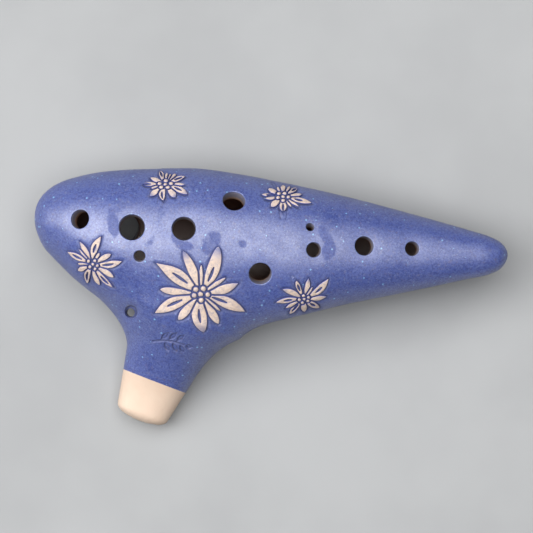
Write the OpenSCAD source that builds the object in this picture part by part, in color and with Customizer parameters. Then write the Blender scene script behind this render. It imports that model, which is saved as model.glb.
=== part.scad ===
// Transverse clay ocarina with edelweiss decoration.
// Lies on its back: finger holes face +Z, mouthpiece points to -Y, tail points to +X.
// Origin: centre of the bounding box in X and Y, underside at Z = 0. Units: millimetres.

/* [Body] */
// Thickness of the clay around the chamber
wall = 5.3; // [3.5:0.1:7]
// Extra clay closing each end of the chamber
end_wall = 3; // [1:0.5:8]
// Height of the widest level of the body above the table
belly_z = 23.2; // [18:0.1:28]
// How broadly the neck melts into the body
melt = 640; // [300:10:900]

/* [Neck and mouthpiece] */
// Angle between the mouthpiece and the cross direction of the body
neck_angle = 21; // [0:1:35]
// Height of the middle of the mouthpiece tip
tip_z = 6.6; // [5:0.1:10]
// Length of the bare clay mouthpiece
mouthpiece_len = 16; // [10:0.5:22]
// Half width of the neck at the tip
tip_half_w = 9.2; // [7:0.1:12]
// Widening of the neck for each millimetre of length
neck_taper = 0.2; // [0.1:0.01:0.3]
// Greatest half thickness of the neck
neck_half_t = 17.5; // [14:0.1:19]

/* [Voicing] */
// Width of the windway where the air leaves it
duct_w = 10.5; // [8:0.1:12]
// Width of the windway at the lips
inlet_w = 12.5; // [10:0.1:14]
// Width of the clay slabs that form the windway
slab_w = 14; // [12:0.5:15]
// Distance from the tip to the joint of neck and body, where the windway ends
neck_end = 40; // [39:0.5:42]
// Length of the sound window
window_len = 6; // [4:0.1:8]
// Length of the labium ramp
ramp_len = 7; // [6:0.1:11]

/* [Holes] */
// Radius of the cord hole
cord_hole_r = 1.6; // [1:0.1:2.5]
// Radius of the left thumb hole
left_thumb_r = 5.5; // [4:0.1:6.5]
// Radius of the right thumb hole
right_thumb_r = 5; // [4:0.1:6]

/* [Decoration] */
// Height of the petals above the clay
relief = 0.35; // [0.2:0.05:0.8]
// Depth of the pressed leaf sprig
sprig_depth = 0.4; // [0.2:0.05:0.8]

/* [Smoothness] */
// Segments across each half of the body
arc_steps = 24; // [12:2:30]
// Segments across each half of the chamber
chamber_steps = 12; // [10:2:24]

/* [Hidden] */
$fn = 48;

slip_blue = [0.36, 0.39, 0.62];
bare_clay = [0.96, 0.88, 0.78];
inner_clay = [0.55, 0.42, 0.33];

// Body stations: position along X, centre in Y, half width, half depth
STATIONS = [
    [-87.5, 29.3, 0, 0], [-84.5, 28.4, 9.3, 8.3], [-80, 27.6, 13.8, 12],
    [-72, 25.2, 19.2, 17], [-60, 22, 24.6, 21.2], [-44, 20, 27.4, 23],
    [-28, 19.8, 27.8, 23.2], [-12, 18.9, 26.6, 22.6], [6, 17.4, 24.6, 21.2],
    [30, 17.2, 19.4, 17.4], [54, 16.4, 13.8, 12.4], [72, 15.8, 9.3, 8.6],
    [81, 15.4, 6.9, 6.3], [85, 15.4, 4.8, 4.4], [87.5, 15.6, 0, 0],
];
tip = [-49.1, -46.2];
along = [sin(neck_angle), cos(neck_angle)];
across = [cos(neck_angle), -sin(neck_angle)];
half_len = 87.5;
flare_from = 23;
flare = 0.014;
tip_round = 3.5;
neck_power = 2.3;
rise_from = 4;
rise_to = 58;
neck_fade_from = 42;
neck_fade = 25;
lobe_from = 40.5;
lobe_round = 4.5;
foot = 0.3;
glaze_gap = 0.1;
coil_gap = 0.04;

// Finger holes: X, Y, radius
FINGER_HOLES = [
    [-70.4, 28.8, 3.4], [-51.1, 25.8, 4.6], [-32, 25.3, 4.2], [-13.6, 35.7, 4],
    [-4, 8.5, 4], [-48.3, 15, 2], [15.7, 17.4, 2.6], [14.4, 25.9, 1.4],
    [34.3, 18.9, 3.35], [52, 17.9, 2.5],
];
THUMB_HOLES = [[-55.1, 26.3, left_thumb_r], [7, 16.6, right_thumb_r]];
CORD_HOLE = [-51.9, -5.7];

// Flower petals: angle, length, half width. The rest of the outline is the round middle
LARGE_PETALS = [
    [145, 20.3, 2.7], [111, 17.2, 1.9], [88.5, 10.7, 1.3], [71, 18.9, 2.6], [34, 11.2, 1.3],
    [18, 14.7, 1.8], [-22, 18.2, 2.6], [-41, 9.7, 1.2], [-58, 12.9, 1.7], [-86, 14.9, 2.5],
    [-132, 12.6, 1.8], [-156, 18.7, 2.6], [173, 15, 1.8],
];
LEFT_PETALS = [
    [72, 10.8, 1.5], [38, 7, 1], [10, 11.7, 1.5], [-18, 7.5, 1], [-46, 12.4, 1.5],
    [-78, 6.5, 1], [-108, 6.7, 1.4], [-140, 6, 1], [180, 7, 1], [153, 10.3, 1.5], [112, 7, 1],
];
TOP_LEFT_PETALS = [
    [180, 8.3, 1.4], [145, 5.5, 1], [109, 5.6, 1.3], [66, 5, 1], [22, 8, 1.4],
    [-23, 9.2, 1.5], [-62, 5.5, 1], [-103, 8.3, 1.4], [-140, 6, 1],
];
TOP_RIGHT_PETALS = [
    [175, 8, 1.4], [150, 6, 1], [128, 6.5, 1.3], [80, 5, 1], [32, 6, 1.3],
    [-12, 11.5, 1.5], [-50, 6, 1], [-90, 9.3, 1.4], [-135, 6.5, 1],
];
BOTTOM_PETALS = [
    [119, 9.4, 1.4], [80, 6, 1], [39, 11.8, 1.5], [8, 6.5, 1], [-25, 6.4, 1.3],
    [-75, 5.5, 1], [-136, 7.3, 1.4], [-173, 11.6, 1.5], [150, 6.5, 1],
];

// Pressed sprig on the neck, across the neck and along it. Leaves: base, direction, length, half width
SPRIG_CENTRE = [-36.5, -16.7];
SPRIG_LEAVES = [
    [-4.2, -0.5, 62, 3.8, 0.85], [-1.4, 0.5, 62, 3.9, 0.85], [1.4, 1, 60, 3.6, 0.8],
    [-2.6, -1, -45, 3.8, 0.85], [0.3, -0.2, -45, 3.8, 0.85], [3, 0.1, -42, 3.4, 0.8],
    [5, 0.55, 8, 2.7, 0.75],
];
SPRIG_STEM = [
    [-6.6, -2.5], [-3.4, -1], [0, 0.1], [4.4, 0.4], [4.4, 0.75], [0, 0.6], [-3.6, -0.4], [-6.8, -1.9],
];

// ---- curves ----

function smooth(t) = let (u = min(max(t, 0), 1)) u * u * (3 - 2 * u);
function signed_square(v) = v * abs(v);

// Slopes of a smooth curve through the points (xs, ys)
function slopes(xs, ys) = let (last = len(xs) - 1) [
    for (i = [0:last])
        i == 0 ? (ys[1] - ys[0]) / (xs[1] - xs[0]) :
        i == last ? (ys[last] - ys[last - 1]) / (xs[last] - xs[last - 1]) :
        let (
            before = xs[i] - xs[i - 1],
            after = xs[i + 1] - xs[i],
            rise_before = (ys[i] - ys[i - 1]) / before,
            rise_after = (ys[i + 1] - ys[i]) / after
        ) (rise_before * after + rise_after * before) / (before + after)
];

// Value at x of the curve through (xs, ys) with slopes ms, straight beyond its ends
function curve(xs, ys, ms, x) =
    let (
        last = len(xs) - 1,
        u = min(max(x, xs[0]), xs[last]),
        i = min(len([for (v = xs) if (v <= u) v]) - 1, last - 1),
        h = xs[i + 1] - xs[i],
        t = (u - xs[i]) / h,
        s = t * t * (3 - 2 * t),
        end_slope = x < xs[0] ? ms[0] : ms[last]
    )
    ys[i] * (1 - s) + ys[i + 1] * s
    + h * t * (1 - t) * (ms[i] * (1 - t) - ms[i + 1] * t)
    + (x - u) * end_slope;

function column(table, i) = [for (row = table) row[i]];
function squares(table, i, less) = [for (row = table) signed_square(row[i] - less)];

station_x = column(STATIONS, 0);
centre_y = column(STATIONS, 1);
centre_slopes = slopes(station_x, centre_y);
// Squared half widths and half depths, of the outside and of the chamber
outer_w2 = squares(STATIONS, 2, 0);
outer_w2_slopes = slopes(station_x, outer_w2);
outer_d2 = squares(STATIONS, 3, 0);
outer_d2_slopes = slopes(station_x, outer_d2);
inner_w2 = squares(STATIONS, 2, wall);
inner_w2_slopes = slopes(station_x, inner_w2);
inner_d2 = squares(STATIONS, 3, wall);
inner_d2_slopes = slopes(station_x, inner_d2);
// The chamber is this much shorter than the body
stretch = half_len / (half_len - end_wall);

// ---- shape of the clay ----

function neck_n(p) = (p - tip) * along;
function neck_m(p) = (p - tip) * across;
function neck_point(n, m) = tip + n * along + m * across;
function mid_z(p) = tip_z + (belly_z - tip_z) * smooth((neck_n(p) - rise_from) / (rise_to - rise_from));
function neck_half_w(n) = tip_half_w + neck_taper * n + flare * pow(max(0, n - flare_from), 2);

// Square of the half depth of the body alone at p, negative outside it
function body_depth2(p, inner) =
    let (
        x = inner ? p[0] * stretch : p[0],
        w2 = inner ? curve(station_x, inner_w2, inner_w2_slopes, x)
                   : curve(station_x, outer_w2, outer_w2_slopes, x),
        d2 = inner ? curve(station_x, inner_d2, inner_d2_slopes, x)
                   : curve(station_x, outer_d2, outer_d2_slopes, x),
        ratio = w2 > 1 ? max(d2, 0) / w2 : 0.8,
        off = p[1] - curve(station_x, centre_y, centre_slopes, x)
    )
    d2 - ratio * off * off;

// The same for the neck alone
function neck_depth2(p, inner) =
    let (
        n = neck_n(p),
        less = inner ? wall : 0,
        t = min(neck_half_t, mid_z(p) - foot) - less,
        w = neck_half_w(n) - less,
        start = inner ? 1 - (n - lobe_from) / lobe_round : 1 - n / tip_round,
        section = pow(abs(neck_m(p) / w), neck_power) + pow(max(0, start), 2)
    )
    t * t * (1 - section) - neck_fade * max(0, n - neck_fade_from);

// Square of the half depth of the clay, or of the chamber, where body and neck melt together
function depth2(p, inner) =
    let (
        a = body_depth2(p, inner),
        b = neck_depth2(p, inner),
        near = max(0, 1 - abs(a - b) / melt)
    )
    max(a, b) + near * near * melt / 4;

function half_depth(p, inner = false) = sqrt(max(0, depth2(p, inner)));
function top_z(p) = mid_z(p) + half_depth(p);
function surface_z(p, side, inner) =
    side > 0 ? mid_z(p) + half_depth(p, inner) : max(0, mid_z(p) - half_depth(p, inner));

// Direction pointing out of the clay at p, on the top (side 1) or on the bottom (side -1)
function normal_at(p, side) =
    let (
        e = 0.4,
        gx = (surface_z(p + [e, 0], side, false) - surface_z(p - [e, 0], side, false)) / (2 * e),
        gy = (surface_z(p + [0, e], side, false) - surface_z(p - [0, e], side, false)) / (2 * e),
        v = [-gx, -gy, 1] * side
    )
    v / norm(v);

// ---- slices parallel to the mouthpiece ----

// Point at distance s along the slice that crosses Y = 0 at X = q
function on_slice(q, s) = [q, 0] + s * along;
function slice_depth2(q, s, inner) = depth2(on_slice(q, s), inner);

// Place of the greatest depth on a slice, and the depth there
function deepest(q, inner, a = 0, b = 42, steps = 26) =
    steps == 0 ? (a + b) / 2 :
    let (c = a + (b - a) / 3, d = b - (b - a) / 3)
    slice_depth2(q, c, inner) > slice_depth2(q, d, inner)
        ? deepest(q, inner, a, d, steps - 1)
        : deepest(q, inner, c, b, steps - 1);

// Edge of the clay on a slice, between s inside and s outside
function edge(q, inside, outside, inner, steps = 26) =
    let (middle = (inside + outside) / 2)
    steps == 0 ? middle :
    slice_depth2(q, middle, inner) > 0
        ? edge(q, middle, outside, inner, steps - 1)
        : edge(q, inside, middle, inner, steps - 1);

// Last slice that still meets the clay, between one inside and one outside
function last_slice(inside, outside, inner, steps = 22) =
    let (middle = (inside + outside) / 2)
    steps == 0 ? inside :
    slice_depth2(middle, deepest(middle, inner), inner) > 0
        ? last_slice(middle, outside, inner, steps - 1)
        : last_slice(inside, middle, inner, steps - 1);

// Slices crowd together at both rounded ends and along the neck
neck_q = tip[0] - tip[1] * tan(neck_angle);
end_slices = 15;
neck_slices = 25;
tail_slices = 24;
neck_span = 21;
function slice_list(first, last) = concat(
    [for (i = [1:end_slices]) neck_q - neck_span - (neck_q - neck_span - first) * cos(90 * i / end_slices)],
    [for (i = [1:neck_slices]) neck_q - neck_span + 2 * neck_span * i / neck_slices],
    [for (i = [1:tail_slices - 1]) neck_q + neck_span + (last - neck_q - neck_span) * sin(90 * i / tail_slices)]
);

function slice_edges(q, inner) =
    let (s = deepest(q, inner)) [edge(q, s, -60, inner), edge(q, s, 70, inner)];

// Points across a slice from edge to edge, on the top (side 1) or on the bottom (side -1)
function arc(q, ends, side, inner, steps) = [
    for (i = [0:steps])
        let (
            s = (ends[0] + ends[1]) / 2 - cos(180 * i / steps) * (ends[1] - ends[0]) / 2,
            p = on_slice(q, s)
        )
        i == 0 || i == steps ? [p[0], p[1], mid_z(p)] : [p[0], p[1], surface_z(p, side, inner)]
];

outer_first = last_slice(-60, -110, false);
outer_last = last_slice(40, 100, false);
inner_first = last_slice(-60, -110, true);
inner_last = last_slice(40, 100, true);
outer_q = slice_list(outer_first, outer_last);
inner_q = slice_list(inner_first, inner_last);
outer_edges = [for (q = outer_q) slice_edges(q, false)];
inner_edges = [for (q = inner_q) slice_edges(q, true)];

function end_point(q, inner) = let (p = on_slice(q, deepest(q, inner))) [p[0], p[1], mid_z(p)];

// ---- meshes ----

function flat(lists) = [for (list = lists) each list];
function turned(faces, flip) = flip ? [for (f = faces) [f[2], f[1], f[0]]] : faces;

// Triangles between rows of `width` points that start at index first, split along short diagonals
function sheet(points, first, rows, width) = flat([
    for (r = [0:rows - 2]) for (c = [0:width - 2])
        let (a = first + r * width + c, b = a + width)
        norm(points[a] - points[b + 1]) < norm(points[a + 1] - points[b])
            ? [[a, a + 1, b + 1], [a, b + 1, b]]
            : [[a, a + 1, b], [a + 1, b + 1, b]]
]);

// Triangles from one end point to the row of points beside it
function fan(apex, first, width) = [for (c = [0:width - 2]) [apex, first + c + 1, first + c]];

// One half of the hollow body: the outside, the chamber and the face where the halves meet
module half_shell(side) {
    rows = len(outer_q);
    out_w = arc_steps + 1;
    in_w = chamber_steps + 1;
    points = concat(
        flat([for (i = [0:rows - 1]) arc(outer_q[i], outer_edges[i], side, false, arc_steps)]),
        flat([for (i = [0:rows - 1]) arc(inner_q[i], inner_edges[i], side, true, chamber_steps)]),
        [
            end_point(outer_first, false), end_point(outer_last, false),
            end_point(inner_first, true), end_point(inner_last, true),
        ]
    );
    in0 = rows * out_w;
    ends = in0 + rows * in_w;
    last_out = (rows - 1) * out_w;
    last_in = in0 + (rows - 1) * in_w;
    outside = concat(
        sheet(points, 0, rows, out_w),
        turned(fan(ends, 0, out_w), false),
        turned(fan(ends + 1, last_out, out_w), true)
    );
    chamber = concat(
        sheet(points, in0, rows, in_w),
        turned(fan(ends + 2, in0, in_w), false),
        turned(fan(ends + 3, last_in, in_w), true)
    );
    near_seam = flat([
        for (i = [0:rows - 2])
            let (o = i * out_w, n = in0 + i * in_w)
            [[o, o + out_w, n + in_w], [o, n + in_w, n]]
    ]);
    far_seam = flat([
        for (i = [0:rows - 2])
            let (o = i * out_w + out_w - 1, n = in0 + i * in_w + in_w - 1)
            [[o, n + in_w, o + out_w], [o, n, n + in_w]]
    ]);
    end_seams = [
        [ends, 0, in0], [ends, in0, ends + 2],
        [ends, in0 + in_w - 1, out_w - 1], [ends, ends + 2, in0 + in_w - 1],
        [ends + 1, last_in, last_out], [ends + 1, ends + 3, last_in],
        [ends + 1, last_out + out_w - 1, last_in + in_w - 1], [ends + 1, last_in + in_w - 1, ends + 3],
    ];
    faces = concat(
        turned(outside, side < 0),
        turned(chamber, side > 0),
        turned(concat(near_seam, far_seam, end_seams), side < 0)
    );
    polyhedron(points, faces, convexity = 8);
}

// Everything on the tip side of a plane across the neck
module tip_side(n, size = 60) {
    translate([tip[0], tip[1], 0])
        rotate(-neck_angle)
            translate([-size, n - size, -5])
                cube([2 * size, size, size]);
}

// Places a child drawn with X across the neck and Y along it
module on_neck() {
    translate([tip[0], tip[1], 0])
        rotate(-neck_angle)
            children();
}

// Slab across the neck: profile lists [distance from the tip, height]
module neck_slab(profile, width) {
    on_neck()
        translate([-width / 2, 0, 0])
            rotate([90, 0, 90])
                linear_extrude(height = width)
                    polygon(profile);
}

// Round hole square to the surface, on the top (side 1) or on the bottom (side -1)
module surface_hole(spot, side) {
    p = [spot[0], spot[1]];
    v = normal_at(p, side);
    tilt = acos(v[2]);
    turn = atan2(v[1], v[0]);
    translate([p[0], p[1], surface_z(p, side, false)])
        rotate([0, tilt, turn])
            translate([0, 0, -12])
                cylinder(h = 16, r = spot[2]);
}

module cord_hole() {
    translate([CORD_HOLE[0], CORD_HOLE[1], -1])
        cylinder(h = 60, r = cord_hole_r);
}

// ---- the windway ----

floor_z = 3;
roof_z = 10;
inlet_floor = 5.5;
inlet_ceiling = 7.9;
joint_floor = 5.6;
joint_ceiling = 7.8;
exit_floor = 5.4;
exit_ceiling = 6.9;
edge_z = 6.1;
edge_t = 0.3;
ramp_foot = 2.2;
labium_top = 8.4;

window_end = neck_end + window_len;
ramp_end = window_end + ramp_len;

// Tapering duct from outside the tip to the joint with the neck
module inlet_duct() {
    n0 = -2;
    n1 = mouthpiece_len + 0.01;
    grow = (inlet_w - duct_w) / mouthpiece_len;
    a = inlet_w / 2 - grow * n0 / 2;
    b = duct_w / 2;
    on_neck()
        polyhedron(
            [
                [-a, n0, inlet_floor], [a, n0, inlet_floor], [a, n0, inlet_ceiling], [-a, n0, inlet_ceiling],
                [-b, n1, joint_floor], [b, n1, joint_floor], [b, n1, joint_ceiling], [-b, n1, joint_ceiling],
            ],
            [[3, 2, 1, 0], [4, 5, 6, 7], [0, 1, 5, 4], [7, 6, 2, 3], [2, 6, 5, 1], [7, 3, 0, 4]]
        );
}

module windway_pocket() {
    neck_slab([
        [mouthpiece_len - 1, floor_z], [neck_end + 1, floor_z],
        [neck_end + 1, roof_z], [mouthpiece_len - 1, roof_z],
    ], slab_w);
}

// Opening through the wall: the sound window and, behind it, the seat of the labium
module sound_window() {
    neck_slab([[neck_end, -2], [ramp_end, -2], [ramp_end, 14], [neck_end, 14]], duct_w);
}

// ---- flowers ----

function angle_apart(a, b) = abs((a - b + 540) % 360 - 180);

// How far a petal reaches in direction a: a pointed leaf that starts under the round middle
function petal_reach(petal, a) =
    let (
        off = angle_apart(a, petal[0]),
        waist = 0.45 * petal[1],
        limit = atan(petal[2] / waist)
    )
    off >= limit ? 0 : petal[1] * (1 - 0.55 * pow(off / limit, 0.8));

function flower_reach(petals, middle, a) = max(concat([middle], [for (p = petals) petal_reach(p, a)]));

// Low relief star that follows the surface: centre, petals, radius of the middle
module flower(centre, petals, middle, around, rings) {
    reach = [for (i = [0:around - 1]) flower_reach(petals, middle, 360 * i / around)];
    points = flat([
        for (lift = [glaze_gap, glaze_gap + relief])
            concat(
                [[centre[0], centre[1], top_z(centre) + lift]],
                [
                    for (k = [1:rings]) for (i = [0:around - 1])
                        let (
                            a = 360 * i / around,
                            p = centre + reach[i] * k / rings * [cos(a), sin(a)]
                        )
                        [p[0], p[1], top_z(p) + lift]
                ]
            )
    ]);
    layer = 1 + rings * around;
    disc = flat([
        for (i = [0:around - 1])
            let (j = (i + 1) % around)
            concat(
                [[0, 1 + i, 1 + j]],
                flat([
                    for (k = [0:rings - 2])
                        let (a = 1 + k * around, b = a + around)
                        [[a + i, b + i, b + j], [a + i, b + j, a + j]]
                ])
            )
    ]);
    rim = 1 + (rings - 1) * around;
    side_faces = flat([
        for (i = [0:around - 1])
            let (a = rim + i, b = rim + (i + 1) % around)
            [[a, a + layer, b + layer], [a, b + layer, b]]
    ]);
    upper = [for (f = disc) [f[2] + layer, f[1] + layer, f[0] + layer]];
    polyhedron(points, concat(disc, upper, side_faces), convexity = 6);
}

// ---- pressed sprig ----

// Pointed leaf from the origin along +X
module leaf(length, half_w, steps = 8) {
    upper = [for (i = [0:steps]) [length * i / steps, half_w * sin(180 * i / steps)]];
    lower = [for (i = [steps - 1:-1:1]) [length * i / steps, -half_w * sin(180 * i / steps)]];
    polygon(concat(upper, lower));
}

module sprig_stamp(height) {
    for (spot = SPRIG_LEAVES)
        translate([spot[0], spot[1], 0])
            rotate(spot[2])
                linear_extrude(height = height)
                    leaf(spot[3], spot[4]);
    linear_extrude(height = height)
        polygon(SPRIG_STEM);
}

// Thin layer of clay that the stamp presses in, just under the surface of the neck
module pressed_sprig() {
    difference() {
        translate([SPRIG_CENTRE[0], SPRIG_CENTRE[1], 15])
            rotate(-neck_angle)
                sprig_stamp(25);
        translate([0, 0, -sprig_depth])
            neck_loft(neck_stops, false);
    }
}

// ---- the seam ----

coil_angle = 22;
coil_round = 1.3;

// Bead of clay smeared along the inside of the seam, on one side of the chamber
module seam_coil(near) {
    from = 3;
    to = len(inner_q) - 4;
    points = flat([
        for (i = [from:to])
            let (
                q = inner_q[i],
                ends = inner_edges[i],
                middle = (ends[0] + ends[1]) / 2,
                half = (ends[1] - ends[0]) / 2,
                sign = near ? -1 : 1
            )
            [
                for (a = [[coil_angle, 1, 1], [0, 1, 0], [coil_angle, 1, -1], [coil_angle, 0, -1],
                          [0, 0, 0], [coil_angle, 0, 1]])
                    let (
                        in = a[1] == 1 ? coil_gap : coil_round,
                        p = on_slice(q, middle + sign * (half * cos(a[0]) - in)),
                        z = a[2] == 0 ? 0 : half_depth(on_slice(q, middle + sign * half * cos(a[0])), true) - coil_gap
                    )
                    [p[0], p[1], mid_z(p) + a[2] * z * (a[1] == 1 ? 1 : 0.6)]
            ]
    ]);
    rows = to - from + 1;
    walls = flat([
        for (r = [0:rows - 2]) for (c = [0:5])
            let (a = r * 6 + c, b = r * 6 + (c + 1) % 6)
            [[a, b, b + 6], [a, b + 6, a + 6]]
    ]);
    caps = [
        for (c = [1:4]) [0, c + 1, c],
        for (c = [1:4]) [(rows - 1) * 6, (rows - 1) * 6 + c, (rows - 1) * 6 + c + 1],
    ];
    faces = concat(walls, caps);
    polyhedron(points, turned(faces, near), convexity = 6);
}

// ---- parts ----

module front_shell() {
    color(slip_blue)
        difference() {
            half_shell(1);
            tip_side(neck_end);
            for (spot = FINGER_HOLES)
                surface_hole(spot, 1);
        }
}

module back_shell() {
    color(slip_blue)
        difference() {
            half_shell(-1);
            tip_side(neck_end);
            for (spot = THUMB_HOLES)
                surface_hole(spot, -1);
            sound_window();
        }
}

// Edge of the clay to one side of the neck, at distance n from the tip
function neck_edge(n, inside, outside, steps = 26) =
    let (middle = (inside + outside) / 2)
    steps == 0 ? middle :
    depth2(neck_point(n, middle), false) > 0
        ? neck_edge(n, middle, outside, steps - 1)
        : neck_edge(n, inside, middle, steps - 1);

// Closed loop of points across the neck at distance n from the tip
ring_points = 40;
function neck_ring(n) =
    let (left = neck_edge(n, 0, -50), right = neck_edge(n, 0, 50))
    [
        for (j = [0:ring_points - 1])
            let (
                a = 360 * j / ring_points,
                p = neck_point(n, (left + right) / 2 + (right - left) / 2 * cos(a)),
                side = j % (ring_points / 2) == 0 ? 0 : sign(sin(a))
            )
            [p[0], p[1], side < 0 ? surface_z(p, -1, false) : mid_z(p) + side * half_depth(p)]
    ];

// Solid length of the neck through rings at the given distances, pointed at a tip or flat
module neck_loft(stops, pointed) {
    apex = len(stops) * ring_points;
    last = apex - ring_points;
    points = concat(flat([for (n = stops) neck_ring(n)]), [[tip[0], tip[1], tip_z]]);
    sides = flat([
        for (k = [0:len(stops) - 2]) for (j = [0:ring_points - 1])
            let (a = k * ring_points + j, b = k * ring_points + (j + 1) % ring_points)
            [[a, b + ring_points, a + ring_points], [a, b, b + ring_points]]
    ]);
    near_end = pointed
        ? [for (j = [0:ring_points - 1]) [apex, (j + 1) % ring_points, j]]
        : [[for (j = [ring_points - 1:-1:0]) j]];
    far_end = [[for (j = [0:ring_points - 1]) last + j]];
    polyhedron(pointed ? points : [for (i = [0:apex - 1]) points[i]],
        concat(sides, near_end, far_end), convexity = 6);
}

mouthpiece_rings = 10;
neck_rings = 14;
neck_stops = [
    for (k = [0:neck_rings]) mouthpiece_len + (neck_end - mouthpiece_len) * sin(90 * k / neck_rings)
];

module neck() {
    color(slip_blue)
        difference() {
            neck_loft(neck_stops, false);
            cord_hole();
            windway_pocket();
            pressed_sprig();
        }
}

module mouthpiece() {
    stops = [for (k = [1:mouthpiece_rings]) mouthpiece_len * pow(k / mouthpiece_rings, 2)];
    color(bare_clay)
        difference() {
            neck_loft(stops, true);
            inlet_duct();
        }
}

// Lower slab of the windway with the channel in it
module windway_floor() {
    n0 = mouthpiece_len;
    n1 = neck_end;
    color(inner_clay)
        difference() {
            neck_slab([[n0, floor_z], [n1, floor_z], [n1, exit_ceiling], [n0, joint_ceiling]], slab_w);
            neck_slab([
                [n0 - 1, joint_floor], [n0, joint_floor], [n1, exit_floor], [n1 + 1, exit_floor],
                [n1 + 1, 9], [n0 - 1, 9],
            ], duct_w);
        }
}

// Upper slab that closes the channel
module windway_roof() {
    n0 = mouthpiece_len;
    n1 = neck_end;
    color(inner_clay)
        neck_slab([[n0, joint_ceiling], [n1, exit_ceiling], [n1, roof_z], [n0, roof_z]], slab_w);
}

// Wedge whose thin edge splits the air
module labium() {
    color(inner_clay)
        neck_slab([
            [window_end, edge_z], [window_end, edge_z + edge_t], [window_end + 3, labium_top - 0.7],
            [ramp_end, labium_top], [ramp_end, ramp_foot],
        ], duct_w);
}

module seam_coil_far() {
    color(inner_clay)
        seam_coil(false);
}

module seam_coil_near() {
    color(inner_clay)
        seam_coil(true);
}

module edelweiss_large() {
    color(bare_clay)
        flower([-25.9, 1.2], LARGE_PETALS, 4.2, 104, 4);
}

module edelweiss_left() {
    color(bare_clay)
        flower([-65.5, 12], LEFT_PETALS, 2.6, 66, 3);
}

module edelweiss_top_left() {
    color(bare_clay)
        flower([-38.9, 41.6], TOP_LEFT_PETALS, 2.4, 60, 3);
}

module edelweiss_top_right() {
    color(bare_clay)
        flower([4.4, 37.1], TOP_RIGHT_PETALS, 2.4, 60, 3);
}

module edelweiss_bottom() {
    color(bare_clay)
        flower([12, -0.6], BOTTOM_PETALS, 2.4, 60, 3);
}

front_shell();
back_shell();
neck();
mouthpiece();
windway_floor();
windway_roof();
labium();
seam_coil_far();
seam_coil_near();
edelweiss_large();
edelweiss_left();
edelweiss_top_left();
edelweiss_top_right();
edelweiss_bottom();
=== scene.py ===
"""Transverse clay ocarina with edelweiss flowers: detailed pieces, materials, stage and camera.

Shape functions work in millimetres in the row frame; meshes are scaled to metres at the end.
"""

import math
from functools import partial

import bpy
import numpy as np
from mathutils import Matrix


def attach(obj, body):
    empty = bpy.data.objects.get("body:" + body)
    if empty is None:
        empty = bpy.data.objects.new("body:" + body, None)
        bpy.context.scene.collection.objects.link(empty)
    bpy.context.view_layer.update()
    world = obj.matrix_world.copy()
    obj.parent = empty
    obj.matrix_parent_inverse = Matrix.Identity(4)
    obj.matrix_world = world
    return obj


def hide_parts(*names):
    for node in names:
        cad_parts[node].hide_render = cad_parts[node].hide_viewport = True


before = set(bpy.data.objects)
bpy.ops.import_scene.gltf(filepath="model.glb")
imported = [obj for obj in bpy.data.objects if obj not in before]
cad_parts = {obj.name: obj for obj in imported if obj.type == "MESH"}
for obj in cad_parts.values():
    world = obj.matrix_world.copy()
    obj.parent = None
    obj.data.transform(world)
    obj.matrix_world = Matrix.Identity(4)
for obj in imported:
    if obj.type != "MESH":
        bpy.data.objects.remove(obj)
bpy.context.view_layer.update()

MM = 0.001

# ---- sizes of the clay body, as in the CAD ----

WALL = 5.3
END_WALL = 3.0
BELLY_Z = 23.2
MELT = 640.0
NECK_ANGLE = math.radians(21)
TIP = np.array([-49.1, -46.2])
TIP_Z = 6.6
TIP_HALF_W = 9.2
NECK_TAPER = 0.2
NECK_HALF_T = 17.5
FLARE_FROM = 23.0
FLARE = 0.014
TIP_ROUND = 3.5
NECK_POWER = 2.3
RISE_FROM = 4.0
RISE_TO = 58.0
NECK_FADE_FROM = 42.0
NECK_FADE = 25.0
LOBE_FROM = 40.5
LOBE_ROUND = 4.5
FOOT = 0.3
HALF_LEN = 87.5
MOUTHPIECE_LEN = 16.0
NECK_END = 40.0
RAMP_END = 53.0
DUCT_W = 10.5
INLET_W = 12.5
SLAB_W = 14.0
SLAB_FLOOR_Z = 3.0
SLAB_ROOF_Z = 10.0
INLET_LOW_Z = 5.5
INLET_HIGH_Z = 7.9
INLET_TAPER = 0.1
WINDOW_LOW_Z = -5
WINDOW_HIGH_Z = 14
ALONG = np.array([math.sin(NECK_ANGLE), math.cos(NECK_ANGLE)])
ACROSS = np.array([math.cos(NECK_ANGLE), -math.sin(NECK_ANGLE)])

# Position along X, centre in Y, half width, half depth. A search program fitted the centres and
# half widths to the outline of the picture, starting from a given table
STATIONS = np.array([
    (-87.5, 29.3, 0, 0), (-84.5, 28.4, 9.3, 8.3), (-80, 27.6, 13.8, 12),
    (-72, 25.2, 19.2, 17), (-60, 22, 24.6, 21.2), (-44, 20, 27.4, 23),
    (-28, 19.8, 27.8, 23.2), (-12, 18.9, 26.6, 22.6), (6, 17.4, 24.6, 21.2),
    (30, 17.2, 19.4, 17.4), (54, 16.4, 13.8, 12.4), (72, 15.8, 9.3, 8.6),
    (81, 15.4, 6.9, 6.3), (85, 15.4, 4.8, 4.4), (87.5, 15.6, 0, 0),
], float)

# X, Y, radius
FINGER_HOLES = [
    (-70.4, 28.8, 3.4), (-51.1, 25.8, 4.6), (-32, 25.3, 4.2), (-13.6, 35.7, 4),
    (-4, 8.5, 4), (-48.3, 15, 2), (15.7, 17.4, 2.6), (14.4, 25.9, 1.4),
    (34.3, 18.9, 3.35), (52, 17.9, 2.5),
]
THUMB_HOLES = [(-55.1, 26.3, 5.5), (7, 16.6, 5.0)]
CORD_HOLE = (-51.9, -5.7, 1.6)

# ---- flowers ----

# Outline of each petal shape: share of its length where it is widest, and sharpness of its tip
PETAL_SHAPES = {
    "pointed": (0.5, 1.2), "curled": (0.6, 0.85), "blunt": (0.55, 0.5), "round": (0.7, 0.5),
    "strap": (0.45, 0.45),
}

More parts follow.
